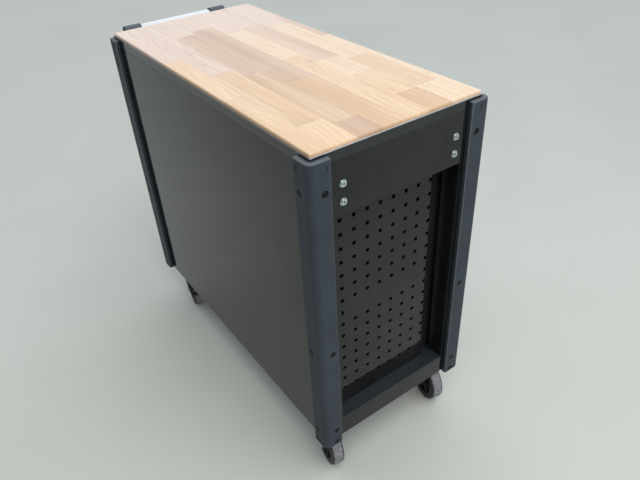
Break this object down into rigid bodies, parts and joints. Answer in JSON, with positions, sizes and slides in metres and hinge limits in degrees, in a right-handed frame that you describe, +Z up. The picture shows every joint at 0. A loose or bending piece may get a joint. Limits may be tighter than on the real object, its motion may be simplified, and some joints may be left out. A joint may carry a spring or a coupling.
{
  "type": "rolling tool cabinet",
  "caption": "Steel tool cabinet on swivel casters, with drawers under a wooden worktop, perforated end niches, moulded corner posts and a push handle.",
  "frame": {"origin": "on the floor, under the centre of the worktop", "axes": "+Z up, +X along the length to the push-handle end, -Y to the drawer fronts"},
  "size_m": [1.1236, 0.485, 0.981],
  "materials": {
    "wood": "oiled finger-jointed beech staves",
    "tray_paint": "gloss",
    "casing_paint": "high gloss powder coat",
    "inner_paint": "satin powder coat",
    "drawer_paint": "high gloss powder coat",
    "grip_aluminium": "satin anodised",
    "moulding": "fine textured satin",
    "black_screw": "blackened steel",
    "zinc": "bright zinc plated",
    "chrome": "polished",
    "lock_metal": "nickel plated",
    "hub_plastic": "satin",
    "fork_paint": "satin black",
    "tyre": "matte"
  },
  "bodies": {
    "root": {"worktop_board": "wood", "top_tray": "tray_paint", "base_frame": "casing_paint", "back_panel": "casing_paint", "post_screws": "black_screw", "band_screws": "zinc", "cabinet_runners": "zinc", "handle_brackets": "moulding", "handle_tube": "chrome", "caster_plates": "zinc", "end_frame_left": "casing_paint", "perforated_panel_left": "casing_paint", "drawer_wall_left": "inner_paint", "end_frame_right": "casing_paint", "perforated_panel_right": "casing_paint", "drawer_wall_right": "inner_paint", "corner_post_rear_left": "moulding", "corner_post_rear_right": "moulding", "corner_post_front_right": "moulding", "corner_post_front_left": "moulding"},
    "drawer_1": {"drawer_1": "drawer_paint", "drawer_grip_1": "grip_aluminium", "drawer_runners_1": "zinc"},
    "middle_runner_1": {"middle_runners_1": "zinc"},
    "drawer_2": {"drawer_2": "drawer_paint", "drawer_grip_2": "grip_aluminium", "drawer_runners_2": "zinc"},
    "middle_runner_2": {"middle_runners_2": "zinc"},
    "drawer_3": {"drawer_3": "drawer_paint", "drawer_grip_3": "grip_aluminium", "drawer_runners_3": "zinc"},
    "middle_runner_3": {"middle_runners_3": "zinc"},
    "drawer_4": {"drawer_4": "drawer_paint", "drawer_grip_4": "grip_aluminium", "drawer_runners_4": "zinc"},
    "middle_runner_4": {"middle_runners_4": "zinc"},
    "drawer_5": {"drawer_5": "drawer_paint", "drawer_grip_5": "grip_aluminium", "drawer_runners_5": "zinc"},
    "middle_runner_5": {"middle_runners_5": "zinc"},
    "drawer_6": {"drawer_6": "drawer_paint", "drawer_grip_6": "grip_aluminium", "drawer_runners_6": "zinc"},
    "middle_runner_6": {"middle_runners_6": "zinc"},
    "fork_rear_left": {"caster_fork_rear_left": "fork_paint"},
    "wheel_rear_left": {"caster_hub_rear_left": "hub_plastic", "caster_tyre_rear_left": "tyre"},
    "fork_rear_right": {"caster_fork_rear_right": "fork_paint"},
    "wheel_rear_right": {"caster_hub_rear_right": "hub_plastic", "caster_tyre_rear_right": "tyre"},
    "fork_front_right": {"caster_fork_front_right": "fork_paint"},
    "wheel_front_right": {"caster_hub_front_right": "hub_plastic", "caster_tyre_front_right": "tyre"},
    "fork_front_left": {"caster_fork_front_left": "fork_paint"},
    "wheel_front_left": {"caster_hub_front_left": "hub_plastic", "caster_tyre_front_left": "tyre"},
    "brake_front_right": {"caster_brake_front_right": "fork_paint"},
    "brake_rear_right": {"caster_brake_rear_right": "fork_paint"},
    "lock_cylinder": {"lock_cylinder": "lock_metal"},
    "lock_bar": {"lock_bar": "zinc"}
  },
  "joints": [
    {"name": "drawer_1_slide", "type": "slide", "parent": "root", "child": "drawer_1", "axis": [0, -1, 0], "range_m": [0, 0.4]},
    {"name": "middle_1_slide", "type": "slide", "parent": "root", "child": "middle_runner_1", "axis": [0, -1, 0], "range_m": [0, 0.2]},
    {"name": "drawer_2_slide", "type": "slide", "parent": "root", "child": "drawer_2", "axis": [0, -1, 0], "range_m": [0, 0.4]},
    {"name": "middle_2_slide", "type": "slide", "parent": "root", "child": "middle_runner_2", "axis": [0, -1, 0], "range_m": [0, 0.2]},
    {"name": "drawer_3_slide", "type": "slide", "parent": "root", "child": "drawer_3", "axis": [0, -1, 0], "range_m": [0, 0.4]},
    {"name": "middle_3_slide", "type": "slide", "parent": "root", "child": "middle_runner_3", "axis": [0, -1, 0], "range_m": [0, 0.2]},
    {"name": "drawer_4_slide", "type": "slide", "parent": "root", "child": "drawer_4", "axis": [0, -1, 0], "range_m": [0, 0.4]},
    {"name": "middle_4_slide", "type": "slide", "parent": "root", "child": "middle_runner_4", "axis": [0, -1, 0], "range_m": [0, 0.2]},
    {"name": "drawer_5_slide", "type": "slide", "parent": "root", "child": "drawer_5", "axis": [0, -1, 0], "range_m": [0, 0.4]},
    {"name": "middle_5_slide", "type": "slide", "parent": "root", "child": "middle_runner_5", "axis": [0, -1, 0], "range_m": [0, 0.2]},
    {"name": "drawer_6_slide", "type": "slide", "parent": "root", "child": "drawer_6", "axis": [0, -1, 0], "range_m": [0, 0.4]},
    {"name": "middle_6_slide", "type": "slide", "parent": "root", "child": "middle_runner_6", "axis": [0, -1, 0], "range_m": [0, 0.2]},
    {"name": "swivel_rear_left", "type": "hinge", "parent": "root", "child": "fork_rear_left", "pos_m": [-0.424, 0.185, 0.142], "axis": [0, 0, 1], "continuous": true},
    {"name": "wheel_rear_left_spin", "type": "hinge", "parent": "fork_rear_left", "child": "wheel_rear_left", "pos_m": [-0.46508, 0.19373, 0.0625], "axis": [0.2079, 0.9781, 0], "continuous": true},
    {"name": "swivel_rear_right", "type": "hinge", "parent": "root", "child": "fork_rear_right", "pos_m": [0.424, 0.185, 0.142], "axis": [0, 0, 1], "continuous": true},
    {"name": "wheel_rear_right_spin", "type": "hinge", "parent": "fork_rear_right", "child": "wheel_rear_right", "pos_m": [0.38292, 0.19373, 0.0625], "axis": [0.2079, 0.9781, 0], "continuous": true},
    {"name": "swivel_front_right", "type": "hinge", "parent": "root", "child": "fork_front_right", "pos_m": [0.424, -0.185, 0.142], "axis": [0, 0, 1], "continuous": true},
    {"name": "wheel_front_right_spin", "type": "hinge", "parent": "fork_front_right", "child": "wheel_front_right", "pos_m": [0.38292, -0.17627, 0.0625], "axis": [0.2079, 0.9781, 0], "continuous": true},
    {"name": "swivel_front_left", "type": "hinge", "parent": "root", "child": "fork_front_left", "pos_m": [-0.424, -0.185, 0.142], "axis": [0, 0, 1], "continuous": true},
    {"name": "wheel_front_left_spin", "type": "hinge", "parent": "fork_front_left", "child": "wheel_front_left", "pos_m": [-0.46508, -0.17627, 0.0625], "axis": [0.2079, 0.9781, 0], "continuous": true},
    {"name": "brake_front_right_press", "type": "hinge", "parent": "fork_front_right", "child": "brake_front_right", "pos_m": [0.38879, -0.17752, 0.1], "axis": [-0.2079, -0.9781, 0], "range_deg": [0, 12]},
    {"name": "brake_rear_right_press", "type": "hinge", "parent": "fork_rear_right", "child": "brake_rear_right", "pos_m": [0.38879, 0.19248, 0.1], "axis": [-0.2079, -0.9781, 0], "range_deg": [0, 12]},
    {"name": "lock_turn", "type": "hinge", "parent": "root", "child": "lock_cylinder", "pos_m": [0.38, -0.2295, 0.927], "axis": [0, 1, 0], "range_deg": [0, 90]},
    {"name": "lock_bar_slide", "type": "slide", "parent": "root", "child": "lock_bar", "axis": [0, 0, 1], "range_m": [-0.00999, 0]}
  ],
  "couplings": [
    {"joint": "middle_1_slide", "follows": "drawer_1_slide", "ratio": 0.5},
    {"joint": "middle_2_slide", "follows": "drawer_2_slide", "ratio": 0.5},
    {"joint": "middle_3_slide", "follows": "drawer_3_slide", "ratio": 0.5},
    {"joint": "middle_4_slide", "follows": "drawer_4_slide", "ratio": 0.5},
    {"joint": "middle_5_slide", "follows": "drawer_5_slide", "ratio": 0.5},
    {"joint": "middle_6_slide", "follows": "drawer_6_slide", "ratio": 0.5},
    {"joint": "lock_turn", "follows": "lock_bar_slide", "rad_per_m": -157.2}
  ]
}
